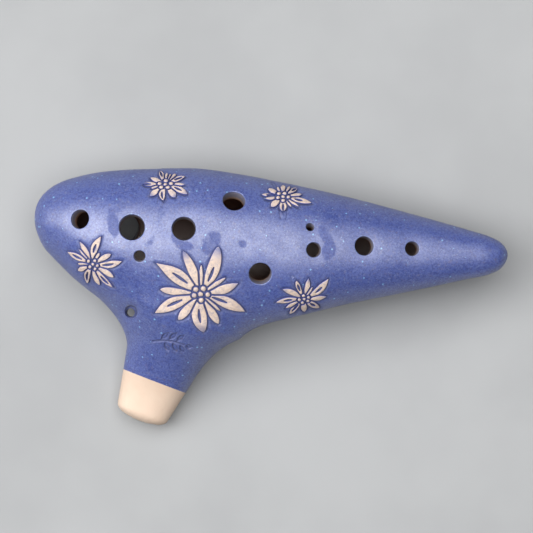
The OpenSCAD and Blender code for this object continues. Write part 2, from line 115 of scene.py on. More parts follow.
# Petal: direction in degrees, length, half width, bend to the left, shape, start and end of its
# slit as shares of its length (or no slit), and how far its tip fades. A "ghost" is an outline
# scratched into the slip, with the "blunt" shape
LARGE = {
    "node": "edelweiss_large", "centre": (-25.9, 1.2), "floret_shape": 1.0, "line": 0.38, "grid": 0.12,
    "reach": 24, "petals": [
        (145.3, 20.4, 2.7, -0.6, "pointed", (0.31, 0.62), 0.5),
        (69, 18.6, 2.45, -1.1, "blunt", (0.3, 0.58), 1),
        (-21.6, 17.7, 2.2, 0.6, "curled", (0.25, 0.57), 0.3),
        (-86, 14, 2.9, -1.1, "blunt", (0.41, 0.74), 0.8),
        (-157.6, 18.3, 2.4, -0.6, "curled", (0.4, 0.7), 0.3), (112, 17, 1.8, -0.5, "blunt", None, 1),
        (16, 14.6, 1.75, -0.75, "curled", None, 0.9), (-59, 12.7, 1.6, 0, "round", None, 0.2),
        (-131, 12.5, 1.65, 0, "round", None, 0.4), (173.3, 14.9, 1.45, 0.2, "round", None, 0.4),
        (88.5, 10.7, 0.95, 0, "strap", None, 0.3), (33, 11, 0.95, 0, "strap", None, 0.7),
        (-40.8, 9.6, 0.85, 0, "strap", None, 0.2),
    ],
    "florets": [
        (-1.75, 1.65, 1.1), (1.0, 1.9, 1.1), (-2.3, -0.45, 1.05), (0, 0, 1.1),
        (2.6, -0.2, 1.0), (0.2, -2.2, 1.05),
    ],
}
LEFT = {
    "node": "edelweiss_left", "centre": (-65.5, 12.0), "floret_shape": 1.0, "line": 0.3, "grid": 0.09,
    "reach": 15, "petals": [
        (73, 10.9, 1.5, 1.1, "curled", (0.41, 0.67), 0.4),
        (153.4, 10.7, 1.2, 0.1, "curled", (0.44, 0.77), 0.4),
        (-108, 7.2, 1.25, -1.0, "blunt", (0.46, 0.84), 0.3),
        (-48.6, 11.3, 1.0, -0.65, "curled", (0.46, 0.78), 0.3),
        (6.6, 11, 1.4, -0.7, "curled", (0.34, 0.68), 0.4), (120, 10, 1.0, -0.2, "curled", None, 1),
        (-72, 7.8, 0.95, -0.7, "round", None, 0.2), (-31.2, 8.9, 1.05, 0.2, "round", None, 0.2),
        (29.6, 7.7, 1.1, 0.2, "round", None, 0.6), (-160, 6, 1.1, 0, "round", None, 0.3),
        (132, 7.7, 0.65, 0, "strap", None, 0.6), (59, 4.9, 0.8, 0.2, "round", None, 0.3),
        (176, 5.6, 0.75, 0, "round", None, 0.3),
    ],
    "florets": [
        (-1.6, 1.3, 0.72), (0.75, 1.4, 0.72), (0, 0.2, 0.7), (-1.1, -0.8, 0.72),
        (0.8, -1.55, 0.66), (1.65, -0.4, 0.66),
    ],
}
TOP_LEFT = {
    "node": "edelweiss_top_left", "centre": (-38.9, 41.6), "floret_shape": 0.68, "line": 0.27, "grid": 0.09,
    "reach": 15, "petals": [
        (180, 8.2, 0.8, 0, "round", (0.66, 0.97), 0.2), (113, 5.3, 1.0, 0, "round", (0.58, 0.92), 0.3),
        (21.5, 8, 0.95, 0.2, "curled", (0.48, 0.82), 0.4), (-24, 9, 1.25, 0.3, "blunt", (0.42, 0.7), 1),
        (-97, 6.1, 1.35, -0.8, "blunt", (0.53, 0.87), 0.3), (157, 6.2, 0.9, 0, "curled", None, 0.4),
        (45, 5.4, 0.75, 0, "round", None, 0.2), (-1.5, 7.4, 0.7, 0, "curled", None, 0.2),
        (-52, 6.2, 1.25, 0, "round", None, 1), (-142, 7.1, 1.1, 0, "round", None, 1),
        (-163.6, 5.4, 0.7, 0, "round", None, 0.2), (83, 4.2, 0.8, 0, "round", None, 0.3),
        (62, 4.3, 0.7, 0, "round", None, 0.3), (-104, 9.8, 1.2, 0, "ghost", None, 0),
    ],
    "florets": [
        (0.15, 1.2, 0.98), (-2.1, 0.15, 0.9), (0, -0.2, 0.85), (2.1, 0.15, 0.95),
        (-1.5, -1.2, 0.92), (0.85, -1.25, 0.98),
    ],
}
TOP_RIGHT = {
    "node": "edelweiss_top_right", "centre": (4.4, 37.1), "floret_shape": 0.74, "line": 0.27, "grid": 0.09,
    "reach": 15, "petals": [
        (-13, 11, 1.05, 0, "curled", (0.41, 0.65), 0.4), (-90, 5.5, 1.45, 0, "round", (0.54, 0.95), 0.7),
        (30, 6, 0.95, 0.2, "round", (0.66, 0.93), 0.4), (175, 7.9, 0.65, 0, "round", (0.45, 0.75), 0.4),
        (153, 6.1, 0.9, 0, "round", None, 0.3), (90, 4.1, 1.2, 0, "round", None, 0.2),
        (55, 4.4, 0.85, 0, "round", None, 0.3), (6, 7, 0.7, 0, "round", None, 0.2),
        (-140, 5.8, 1.2, 0, "round", None, 0.6), (-173, 6.8, 0.9, 0, "curled", None, 0.5),
        (-33, 6.9, 0.6, 0, "strap", None, 0.4), (-52, 5, 0.6, 0, "strap", None, 0.2),
        (122, 4.1, 0.7, 0, "round", None, 0.3), (127, 6.8, 0.6, 0, "ghost", None, 0),
        (-89, 9.5, 1.4, 0, "ghost", None, 0), (-35, 8.2, 0.9, 0.4, "ghost", None, 0),
    ],
    "florets": [
        (-1.55, 1.0, 0.86), (0.55, 1.0, 0.9), (-1.85, -0.5, 0.86), (0.05, -0.1, 0.9),
        (1.9, -0.3, 0.86), (0, -1.55, 0.86),
    ],
}
BOTTOM = {
    "node": "edelweiss_bottom", "centre": (12.0, -0.6), "floret_shape": 0.85, "line": 0.27, "grid": 0.09,
    "reach": 15, "petals": [
        (113, 7.2, 0.95, 0.1, "round", (0.48, 0.78), 0.4),
        (39.3, 11.8, 1.4, -1.0, "curled", (0.43, 0.65), 0.4),
        (-28, 6.6, 1.2, -0.3, "blunt", (0.45, 0.72), 0.2), (-134, 7.5, 0.95, 0, "round", (0.4, 0.8), 0.3),
        (-172.8, 10.5, 1.05, -0.25, "curled", (0.42, 0.68), 0.5), (77, 8, 1.05, -0.3, "curled", None, 1),
        (6, 8.6, 0.95, -0.3, "curled", None, 0.8), (-88, 4.6, 1.25, 0, "round", None, 0.2),
        (-153.7, 7.6, 0.85, 0, "curled", None, 0.3), (156, 8.8, 1.1, -0.45, "curled", None, 1),
        (53, 5.4, 0.7, 0, "strap", None, 0.2), (117.5, 9.6, 1.2, 0, "ghost", None, 0),
    ],
    "florets": [
        (-0.1, 1.15, 0.76), (1.75, 0.6, 0.72), (-1.6, -0.3, 0.74), (0.15, 0, 0.72),
        (1.5, -0.7, 0.72), (-0.5, -1.3, 0.74),
    ],
}
FLOWERS = [LARGE, LEFT, TOP_LEFT, TOP_RIGHT, BOTTOM]
PETAL_LIFT = 0.26
PETAL_SINK = 0.2
PETAL_DOME = 0.1
FLORET_LIFT = 0.22
GROOVE_DEPTH = 0.34
GROOVE_WIDTH = 0.38
GROOVE_EXTRA = 0.34
SMALL_GROOVE = 0.75
SCRATCH_DEPTH = 0.16
LIP_HEIGHT = 0.03

# Pressed leaf sprig, across the neck and along it. Leaves: base, direction, length, half width
SPRIG_CENTRE = (-36.5, -16.7)
SPRIG_STEM = [(-6.7, -2.2), (-3.5, -0.7), (0, 0.35), (4.4, 0.6)]
SPRIG_LEAVES = [
    (-4.2, -0.5, 62, 3.8, 0.85), (-1.4, 0.5, 62, 3.9, 0.85), (1.4, 1, 60, 3.6, 0.8),
    (-2.6, -1, -45, 3.8, 0.85), (0.3, -0.2, -45, 3.8, 0.85), (3, 0.1, -42, 3.4, 0.8),
    (5, 0.55, 8, 2.7, 0.75),
]
SPRIG_DEPTH = 0.45
SPRIG_REACH = 10


# ---- shape of the clay ----

def signed_square(v):
    """Square that keeps the sign."""
    return v * np.abs(v)


def smooth(t):
    u = np.clip(t, 0.0, 1.0)
    return u * u * (3 - 2 * u)


def curve_slopes(xs, ys):
    """Slopes of a smooth curve through the points (xs, ys)."""
    gaps = np.diff(xs)
    rises = np.diff(ys) / gaps
    inner = (rises[:-1] * gaps[1:] + rises[1:] * gaps[:-1]) / (gaps[:-1] + gaps[1:])
    return np.concatenate(([rises[0]], inner, [rises[-1]]))


def curve(xs, ys, x):
    """Value at x of the smooth curve through (xs, ys), straight beyond its ends."""
    slopes = curve_slopes(xs, ys)
    u = np.clip(x, xs[0], xs[-1])
    i = np.clip(np.searchsorted(xs, u, side="right") - 1, 0, len(xs) - 2)
    h = xs[i + 1] - xs[i]
    t = (u - xs[i]) / h
    s = t * t * (3 - 2 * t)
    end_slope = np.where(x < xs[0], slopes[0], slopes[-1])
    bow = h * t * (1 - t) * (slopes[i] * (1 - t) - slopes[i + 1] * t)
    return ys[i] * (1 - s) + ys[i + 1] * s + bow + (x - u) * end_slope


def neck_coordinates(x, y, origin=TIP):
    """Distance from the origin along the neck, and distance across it."""
    dx = x - origin[0]
    dy = y - origin[1]
    return dx * ALONG[0] + dy * ALONG[1], dx * ACROSS[0] + dy * ACROSS[1]


def mid_height(x, y):
    """Height of the parting surface, which falls from the body to the tip."""
    n, _ = neck_coordinates(x, y)
    return TIP_Z + (BELLY_Z - TIP_Z) * smooth((n - RISE_FROM) / (RISE_TO - RISE_FROM))


def body_depth2(x, y, inner):
    """Square of the half depth of the body alone, negative outside it."""
    less = WALL if inner else 0.0
    along = x * HALF_LEN / (HALF_LEN - END_WALL) if inner else x
    width2 = curve(STATIONS[:, 0], signed_square(STATIONS[:, 2] - less), along)
    depth2 = curve(STATIONS[:, 0], signed_square(STATIONS[:, 3] - less), along)
    ratio = np.where(width2 > 1, np.maximum(depth2, 0) / np.maximum(width2, 1), 0.8)
    off = y - curve(STATIONS[:, 0], STATIONS[:, 1], along)
    return depth2 - ratio * off ** 2


def neck_depth2(x, y, inner):
    """Square of the half depth of the neck alone, negative outside it."""
    less = WALL if inner else 0.0
    n, m = neck_coordinates(x, y)
    half_t = np.minimum(NECK_HALF_T, mid_height(x, y) - FOOT) - less
    half_w = TIP_HALF_W + NECK_TAPER * n + FLARE * np.maximum(0, n - FLARE_FROM) ** 2 - less
    start = 1 - (n - LOBE_FROM) / LOBE_ROUND if inner else 1 - n / TIP_ROUND
    section = np.abs(m / half_w) ** NECK_POWER + np.maximum(0, start) ** 2
    return half_t ** 2 * (1 - section) - NECK_FADE * np.maximum(0, n - NECK_FADE_FROM)


def half_depth2(x, y, inner=False):
    """Square of the half depth where body and neck melt together."""
    a = body_depth2(x, y, inner)
    b = neck_depth2(x, y, inner)
    near = np.maximum(0, 1 - np.abs(a - b) / MELT)
    return np.maximum(a, b) + near ** 2 * MELT / 4


class PlanTable:
    """Values of a function of x and y on a fine grid, for quick smooth lookup."""

    LOW = np.array([-92.0, -52.0])
    HIGH = np.array([92.0, 52.0])
    STEP = 0.25

    def __init__(self, function):
        xs = np.arange(self.LOW[0], self.HIGH[0] + self.STEP, self.STEP)
        ys = np.arange(self.LOW[1], self.HIGH[1] + self.STEP, self.STEP)
        grid_x, grid_y = np.meshgrid(xs, ys, indexing="ij")
        value = function(grid_x, grid_y)
        slope_x, slope_y = np.gradient(value, self.STEP)
        self.layers = np.stack([value, slope_x, slope_y], axis=-1)

    def __call__(self, x, y):
        """Value and both slopes at each point."""
        u = np.clip((x - self.LOW[0]) / self.STEP, 0, self.layers.shape[0] - 1.001)
        v = np.clip((y - self.LOW[1]) / self.STEP, 0, self.layers.shape[1] - 1.001)
        i = u.astype(int)
        j = v.astype(int)
        a = (u - i)[:, None]
        b = (v - j)[:, None]
        rows = self.layers
        found = (rows[i, j] * (1 - a) + rows[i + 1, j] * a) * (1 - b)
        found += (rows[i, j + 1] * (1 - a) + rows[i + 1, j + 1] * a) * b
        return found[:, 0], found[:, 1], found[:, 2]


OUTER = PlanTable(lambda x, y: half_depth2(x, y, False))
INNER = PlanTable(lambda x, y: half_depth2(x, y, True))
MIDDLE = PlanTable(mid_height)


LEAST_DEPTH2 = 0.05


def outer_surface(x, y, side):
    """Outside points at (x, y) and their normals; side is 1 for the top, -1 for the bottom."""
    depth2, slope_x, slope_y = OUTER(x, y)
    mid, mid_x, mid_y = MIDDLE(x, y)
    half = np.sqrt(np.maximum(depth2, LEAST_DEPTH2))
    points = np.stack([x, y, np.maximum(0, mid + side * half)], axis=1)
    lean_x = -side * mid_x - slope_x / (2 * half)
    lean_y = -side * mid_y - slope_y / (2 * half)
    normals = np.stack([lean_x, lean_y, np.full_like(x, side)], axis=1)
    return points, normals / np.linalg.norm(normals, axis=1)[:, None]


# ---- distance field of the clay: each function returns distances and directions ----

def shell_distance(p, plan):
    """Distance to the surface whose half depth squared is in plan, negative inside."""
    depth2, slope_x, slope_y = plan(p[:, 0], p[:, 1])
    mid, mid_x, mid_y = MIDDLE(p[:, 0], p[:, 1])
    rise = p[:, 2] - mid
    value = depth2 - rise ** 2
    direction = np.stack([slope_x + 2 * rise * mid_x, slope_y + 2 * rise * mid_y, -2 * rise], axis=1)
    size = np.maximum(np.linalg.norm(direction, axis=1), 0.5)
    return -value / size, -direction / size[:, None]


def larger(a, b, soft):
    """Smooth maximum of two fields, rounded over the distance soft."""
    da, ga = a
    db, gb = b
    near = np.maximum(0, 1 - np.abs(da - db) / soft)
    share = np.where(da > db, 1 - near / 2, near / 2)[:, None]
    return np.maximum(da, db) + near ** 2 * soft / 4, ga * share + gb * (1 - share)


def outside_of(field):
    """The same field with inside and outside exchanged."""
    return -field[0], -field[1]


def bore_distance(p, start, axis, radius):
    """Distance to an endless round bore, negative inside it."""
    q = p - start
    t = q @ axis
    radial = q - t[:, None] * axis
    size = np.maximum(np.linalg.norm(radial, axis=1), 1e-6)
    return (size - radius, radial / size[:, None]), t


def slab_distance(p, half_width, n_from, n_to, low, high):
    """Distance to a box that lies across the neck, negative inside it."""
    n, m = neck_coordinates(p[:, 0], p[:, 1])
    sides = np.stack([np.abs(m) - half_width, n_from - n, n - n_to, low - p[:, 2], p[:, 2] - high])
    which = sides.argmax(axis=0)
    across = np.append(ACROSS, 0.0)
    along = np.append(ALONG, 0.0)
    directions = np.stack([across, -along, along, -UP, UP])[which]
    directions[which == 0] *= np.sign(m[which == 0])[:, None]
    return sides.max(axis=0), directions


# How softly edges are rounded, and how far from each opening the clay is carved
RIM_SOFT = 0.45
RIM_SOFT_GROWTH = 0.06
CORD_SOFT = 1.6
INLET_SOFT = 0.5
SEAT_SOFT = 0.1
WINDOW_SOFT = 0.3
FOOT_SOFT = 0.4
CHAMBER_SOFT = 0.2
HOLE_REACH = 4
BORE_REACH = 9.0
WINDWAY_TOP = 16
WINDWAY_REACH = 12
UP = np.array([0.0, 0.0, 1.0])


def bore_gaps(p, bores):
    """For each bore: distance from its side, negative in it, and height over the surface."""
    for start, axis, radius, _ in bores:
        (gap, _), t = bore_distance(p, start, axis, radius)
        yield gap, t


def surface_bores():
    """Start, axis, radius and rim softness of every hole bored square to the surface."""
    found = []
    for holes, side in ((FINGER_HOLES, 1), (THUMB_HOLES, -1)):
        for x, y, radius in holes:
            points, normals = outer_surface(np.array([x]), np.array([y]), side)
            found.append((points[0], normals[0], radius, RIM_SOFT + RIM_SOFT_GROWTH * radius))
    return found


BORES = surface_bores()


def carve(clay, p, region, tool, soft):
    """Takes a tool shape away from the clay for the points in region."""
    if not region.any():
        return clay
    distance, direction = clay
    part = larger((distance[region], direction[region]), outside_of(tool(p[region])), soft)
    distance = distance.copy()
    direction = direction.copy()
    distance[region], direction[region] = part
    return distance, direction


def carve_round_holes(clay, p):
    """Takes away the finger holes, the thumb holes and the cord hole."""
    for start, axis, radius, soft in BORES:
        (gap, _), t = bore_distance(p, start, axis, radius)
        region = (gap < HOLE_REACH) & (np.abs(t) < BORE_REACH)
        clay = carve(clay, p, region, lambda q: bore_distance(q, start, axis, radius)[0], soft)
    start = np.array([CORD_HOLE[0], CORD_HOLE[1], 0.0])
    (gap, _), _ = bore_distance(p, start, UP, CORD_HOLE[2])
    region = gap < HOLE_REACH
    return carve(clay, p, region, lambda q: bore_distance(q, start, UP, CORD_HOLE[2])[0], CORD_SOFT)


def inlet_distance(p):
    """Distance to the tapering air inlet of the mouthpiece."""
    n, _ = neck_coordinates(p[:, 0], p[:, 1])
    share = np.clip(n / MOUTHPIECE_LEN, -0.2, 1)
    half_width = INLET_W / 2 - share * (INLET_W - DUCT_W) / 2
    low = INLET_LOW_Z + INLET_TAPER * share
    return slab_distance(p, half_width, -9, MOUTHPIECE_LEN, low, INLET_HIGH_Z - INLET_TAPER * share)


def seat_distance(p):
    """Distance to the seat of the two windway slabs."""
    return slab_distance(p, SLAB_W / 2, MOUTHPIECE_LEN, NECK_END + 2, SLAB_FLOOR_Z, SLAB_ROOF_Z)


def window_distance(p):
    """Distance to the opening of the sound window and the seat of the labium."""
    return slab_distance(p, DUCT_W / 2, NECK_END, RAMP_END, WINDOW_LOW_Z, WINDOW_HIGH_Z)


def carve_windway(clay, p):
    """Takes away the air inlet, the seat of the slabs and the sound window."""
    n, m = neck_coordinates(p[:, 0], p[:, 1])
    near = (p[:, 2] < WINDWAY_TOP) & (np.abs(m) < WINDWAY_REACH)
    clay = carve(clay, p, near & (n < MOUTHPIECE_LEN), inlet_distance, INLET_SOFT)
    seat = near & (n > MOUTHPIECE_LEN - 1) & (n < NECK_END + 1)
    clay = carve(clay, p, seat, seat_distance, SEAT_SOFT)
    window = near & (n > NECK_END - 4) & (n < RAMP_END + 4)
    return carve(clay, p, window, window_distance, WINDOW_SOFT)


def clay_field(p):
    """Distance to the clay, negative inside it, and the direction away from it."""
    floor = (-p[:, 2], np.tile([0.0, 0.0, -1.0], (len(p), 1)))
    clay = larger(shell_distance(p, OUTER), floor, FOOT_SOFT)
    clay = larger(clay, outside_of(shell_distance(p, INNER)), CHAMBER_SOFT)
    clay = carve_round_holes(clay, p)
    return carve_windway(clay, p)


# ---- meshing ----

GRID_LOW = np.array([-89.3, -49.3, -1.3])
GRID_HIGH = np.array([89.3, 49.5, 48.4])
GRID_STEP = 0.9


def sample_grid():
    """Field values on a regular grid, evaluated slab by slab."""
    axes = [np.arange(GRID_LOW[k], GRID_HIGH[k], GRID_STEP) for k in range(3)]
    values = np.empty([len(a) for a in axes])
    grid_y, grid_z = np.meshgrid(axes[1], axes[2], indexing="ij")
    block = 12
    for i in range(0, len(axes[0]), block):
        xs = axes[0][i:i + block]
        shape = (len(xs),) + grid_y.shape
        places = (xs[:, None, None], grid_y, grid_z)
        p = np.stack([np.broadcast_to(place, shape).ravel() for place in places], axis=1)
        values[i:i + block] = clay_field(p)[0].reshape(shape)
    return values


def cell_points(values, mixed):
    """One point in each mixed cell: the mean of the places where its edges meet the surface."""
    cells = np.argwhere(mixed)
    total = np.zeros((len(cells), 3))
    count = np.zeros(len(cells))
    corners = np.array([(a, b, c) for a in (0, 1) for b in (0, 1) for c in (0, 1)])
    for first in range(8):
        for second in range(first + 1, 8):
            step = corners[second] - corners[first]
            if np.abs(step).sum() != 1:
                continue
            fa = values[tuple((cells + corners[first]).T)]
            fb = values[tuple((cells + corners[second]).T)]
            crossed = (fa < 0) != (fb < 0)
            t = fa[crossed] / (fa[crossed] - fb[crossed])
            total[crossed] += corners[first] + t[:, None] * step
            count[crossed] += 1
    return GRID_LOW + GRID_STEP * (cells + total / count[:, None])


def surface_net(values):
    """Points and four-sided faces of the zero surface of a grid of values."""
    inside = values < 0
    wide, deep, high = (count - 1 for count in values.shape)
    counts = sum(
        inside[a:a + wide, b:b + deep, c:c + high].astype(np.int8)
        for a in (0, 1) for b in (0, 1) for c in (0, 1)
    )
    mixed = (counts > 0) & (counts < 8)
    index = np.full(mixed.shape, -1)
    index[mixed] = np.arange(mixed.sum())
    faces = []
    for axis in range(3):
        u, v = [k for k in range(3) if k != axis]
        ahead = np.take(inside, range(1, inside.shape[axis]), axis)
        behind = np.take(inside, range(inside.shape[axis] - 1), axis)
        crossed = np.argwhere(ahead != behind)
        crossed = crossed[(crossed[:, u] > 0) & (crossed[:, v] > 0)]
        crossed = crossed[(crossed[:, u] < mixed.shape[u]) & (crossed[:, v] < mixed.shape[v])]
        corners = []
        for du, dv in ((-1, -1), (0, -1), (0, 0), (-1, 0)):
            at = crossed.copy()
            at[:, u] += du
            at[:, v] += dv
            corners.append(index[at[:, 0], at[:, 1], at[:, 2]])
        quads = np.stack(corners, axis=1)
        leaving = behind[crossed[:, 0], crossed[:, 1], crossed[:, 2]]
        flip = leaving if axis == 1 else ~leaving
        quads[flip] = quads[flip][:, ::-1]
        faces.append(quads)
    return cell_points(values, mixed), np.concatenate(faces)


def settle(points, rounds=3):
    """Moves points onto the surface of the clay."""
    for _ in range(rounds):
        distance, direction = clay_field(points)
        size2 = np.maximum((direction ** 2).sum(axis=1), 0.25)
        step = np.clip(distance / size2, -0.5, 0.5)
        points = points - direction * step[:, None]
    return points


def triangles_of(points, quads):
    """Splits four-sided faces along their shorter diagonal."""
    ac = np.linalg.norm(points[quads[:, 0]] - points[quads[:, 2]], axis=1)
    bd = np.linalg.norm(points[quads[:, 1]] - points[quads[:, 3]], axis=1)
    short = (ac < bd)[:, None]
    first = np.where(short, quads[:, [0, 1, 2]], quads[:, [0, 1, 3]])
    second = np.where(short, quads[:, [0, 2, 3]], quads[:, [1, 2, 3]])
    return np.concatenate([first, second])


def edge_list(triangles):
    """Every edge once, and for each triangle the numbers of its edges 01, 12 and 20."""
    sides = np.concatenate([triangles[:, [0, 1]], triangles[:, [1, 2]], triangles[:, [2, 0]]])
    sides.sort(axis=1)
    key = sides[:, 0].astype(np.int64) * (triangles.max() + 1) + sides[:, 1]
    _, first, back = np.unique(key, return_index=True, return_inverse=True)
    return sides[first], back.reshape(3, -1).T


def split_triangles(triangles, new):
    """Splits triangles; new holds the point on each of edges 01, 12 and 20, or -1."""
    flags = new >= 0
    count = flags.sum(axis=1)
    done = [triangles[count == 0]]
    for shift in range(3):
        t = np.roll(triangles, -shift, axis=1)
        m = np.roll(new, -shift, axis=1)
        f = np.roll(flags, -shift, axis=1)
        one = (count == 1) & f[:, 0]
        a, b, c = t[one].T
        ab = m[one][:, 0]
        done += [np.stack([a, ab, c], axis=1), np.stack([ab, b, c], axis=1)]
        two = (count == 2) & f[:, 0] & f[:, 2]
        a, b, c = t[two].T
        ab = m[two][:, 0]
        ca = m[two][:, 2]
        done += [np.stack([a, ab, ca], axis=1), np.stack([ab, b, c], axis=1), np.stack([ab, c, ca], axis=1)]
    three = count == 3
    a, b, c = triangles[three].T
    ab, bc, ca = new[three].T
    done += [np.stack(s, axis=1) for s in ((a, ab, ca), (ab, b, bc), (ca, bc, c), (ab, bc, ca))]
    return np.concatenate(done)


def refine(points, triangles, target, rounds):
    """Halves edges that are longer than target(middle) asks for."""
    for _ in range(rounds):
        edges, numbers = edge_list(triangles)
        middle = points[edges].mean(axis=1)
        length = np.linalg.norm(points[edges[:, 0]] - points[edges[:, 1]], axis=1)
        long = length > 1.35 * target(middle)
        if not long.any():
            break
        new = np.full(len(edges), -1)
        new[long] = len(points) + np.arange(long.sum())
        points = np.concatenate([points, settle(middle[long], 2)])
        triangles = split_triangles(triangles, new[numbers])
    return points, triangles


def cut(points, triangles, measure, snap=0.03):
    """Adds edges along the line where measure is zero."""
    side = measure(points)
    side = np.where(np.abs(side) < snap, 0.0, side)
    edges, numbers = edge_list(triangles)
    a = side[edges[:, 0]]
    b = side[edges[:, 1]]
    crossed = a * b < 0
    t = (a[crossed] / (a[crossed] - b[crossed]))[:, None]
    new = np.full(len(edges), -1)
    new[crossed] = len(points) + np.arange(crossed.sum())
    ends = points[edges[crossed]]
    points = np.concatenate([points, ends[:, 0] * (1 - t) + ends[:, 1] * t])
    return points, split_triangles(triangles, new[numbers])


def vertex_normals(points, triangles):
    """Mean normal of the triangles at each point, weighted by area."""
    a, b, c = (points[triangles[:, k]] for k in range(3))
    face = np.cross(b - a, c - a)
    normals = np.zeros_like(points)
    for k in range(3):
        np.add.at(normals, triangles[:, k], face)
    return normals / np.maximum(np.linalg.norm(normals, axis=1), 1e-9)[:, None]


# ---- flower fields, on the plan ----

def turned(x, y, degrees):
    """Distances along a direction and to the left of it."""
    c = math.cos(math.radians(degrees))
    s = math.sin(math.radians(degrees))
    return x * c + y * s, y * c - x * s


def petal_frame(petal, x, y):
    """Share of the way from the flower's centre to the petal's tip, and distance from its midrib."""
    ahead, left = turned(x, y, petal[0])
    t = ahead / petal[1]
    return t, left - petal[3] * 4 * t * (1 - t)


def petal_field(petal, x, y):
    """Distance into the petal, negative outside it."""
    _, length, half_width, _, shape, _, _ = petal
    widest, sharpness = PETAL_SHAPES.get(shape, PETAL_SHAPES["blunt"])
    t, off = petal_frame(petal, x, y)
    inside = np.clip(t, 0.001, 0.999)
    base = np.sin(np.pi / 2 * np.minimum(inside / widest, 1)) ** 1.15
    tip = np.cos(np.pi / 2 * np.maximum(0, inside - widest) / (1 - widest)) ** sharpness
    edge = (half_width * base * tip - np.abs(off)) / math.sqrt(1 + (1.6 * half_width / length) ** 2)
    beyond = np.maximum(0, np.maximum(t - 0.999, -0.001 - t)) * length
    return np.where(beyond > 0, -np.hypot(np.minimum(edge, 0), beyond), edge)


def line_distance(x, y, ax, ay, bx, by):
    """Distance from a straight line piece."""
    dx = bx - ax
    dy = by - ay
    t = np.clip(((x - ax) * dx + (y - ay) * dy) / (dx * dx + dy * dy), 0, 1)
    return np.hypot(x - ax - t * dx, y - ay - t * dy)


def slit_field(petal, half_width, x, y):
    """Distance out of the carved slit along the middle of a petal, negative in it."""
    start, end = petal[5]
    t, off = petal_frame(petal, x, y)
    share = np.clip((t - start) / (end - start), 0, 1)
    beyond = np.maximum(0, np.maximum(start - t, t - end)) * petal[1]
    return np.hypot(off, beyond) - half_width * (0.3 + 0.7 * np.sin(np.pi * share))


def two_largest(fields):
    """Largest and second largest value at each point, and the number of the largest."""
    stack = np.stack(fields)
    which = stack.argmax(axis=0)
    part = np.partition(stack, -2, axis=0)
    return part[-1], part[-2], which


def petal_share(flower, x, y):
    """Distance into the petals, kept apart by carved lines, and the fade towards their tips."""
    petals = [p for p in flower["petals"] if p[4] != "ghost"]
    best, second, which = two_largest([petal_field(p, x, y) for p in petals])
    apart = np.minimum(best, (best - second - flower["line"]) / 2)
    cream = np.where(best > 0, apart, best)
    fade = np.zeros(x.shape)
    for k, petal in enumerate(petals):
        own = which == k
        t, _ = petal_frame(petal, x, y)
        fade = np.where(own, petal[6] * smooth((t - 0.62) / 0.38), fade)
        if petal[5]:
            cream = np.where(own, np.minimum(cream, slit_field(petal, flower["line"], x, y)), cream)
    return cream, best, fade


def floret_share(flower, x, y):
    """Distance into the florets, kept apart by carved lines, and into their whole cluster."""
    shape = flower["floret_shape"]
    scale = 0.5 + 0.5 * shape
    dots = [(r - np.hypot(x - fx, (y - fy) / shape)) * scale for fx, fy, r in flower["florets"]]
    best, second, _ = two_largest(dots)
    return np.minimum(best, (best - second - flower["line"]) / 2), best


def flower_field(flower, x, y):
    """Distance into the bare clay, fade of the petals, distance into florets and whole flower."""
    petals, cover, fade = petal_share(flower, x, y)
    florets, cluster = floret_share(flower, x, y)
    petals = np.minimum(petals, -cluster - flower["line"])
    return np.maximum(petals, florets), fade, florets, np.maximum(cover, cluster)


def scratches(flower, x, y):
    """Strength of the outlines of petals that are only scratched into the slip."""
    strength = np.zeros(x.shape)
    for petal in flower["petals"]:
        if petal[4] == "ghost":
            rim = np.abs(petal_field(petal, x, y))
            strength = np.maximum(strength, np.exp(-(rim / 0.28) ** 2))
    return strength


def flower_relief(flower, x, y):
    """Depth of the carved lines round a flower at plan points, and how dark they are: pooled slip with
    painted shade, more on their lower right side.
    """
    x = x - flower["centre"][0]
    y = y - flower["centre"][1]
    cream, _, _, cover = flower_field(flower, x, y)
    step = 0.15
    slope_x = flower_field(flower, x + step, y)[0] - cream
    slope_y = flower_field(flower, x, y + step)[0] - cream
    # lower: share of the outline that faces down and right, away from the light; the lines are cut deeper
    # there and get more painted shade
    lower = smooth(0.5 + 0.5 * (0.9 * slope_y - 0.45 * slope_x) / step)
    outside = np.maximum(0, -cream)
    width = (GROOVE_WIDTH + GROOVE_EXTRA * lower) * (1 if flower is LARGE else SMALL_GROOVE)
    groove = np.where(cover > 0.1, 1.0, np.exp(-(outside / width) ** 2))
    # shade: painted shade that reaches wider than the groove
    shade = np.where(cover > 0.1, 1.0, np.exp(-(outside / (1.45 * width)) ** 2))
    lip = np.exp(-((outside - 1.3) / 0.4) ** 2) * (cover < 0)
    scratch = np.where(cover > 0, 0.0, scratches(flower, x, y))
    depth = GROOVE_DEPTH * groove * (0.8 + 0.5 * lower) + SCRATCH_DEPTH * scratch - LIP_HEIGHT * lip
    # The darkness is pooled slip with painted shade, stronger on the lower side, away from the light
    dark = np.clip(shade * (0.7 + 0.3 * lower) + 0.5 * scratch, 0, 1)
    near = outside < 3
    return np.where(near, depth, 0.0), np.where(near, dark, 0.0)


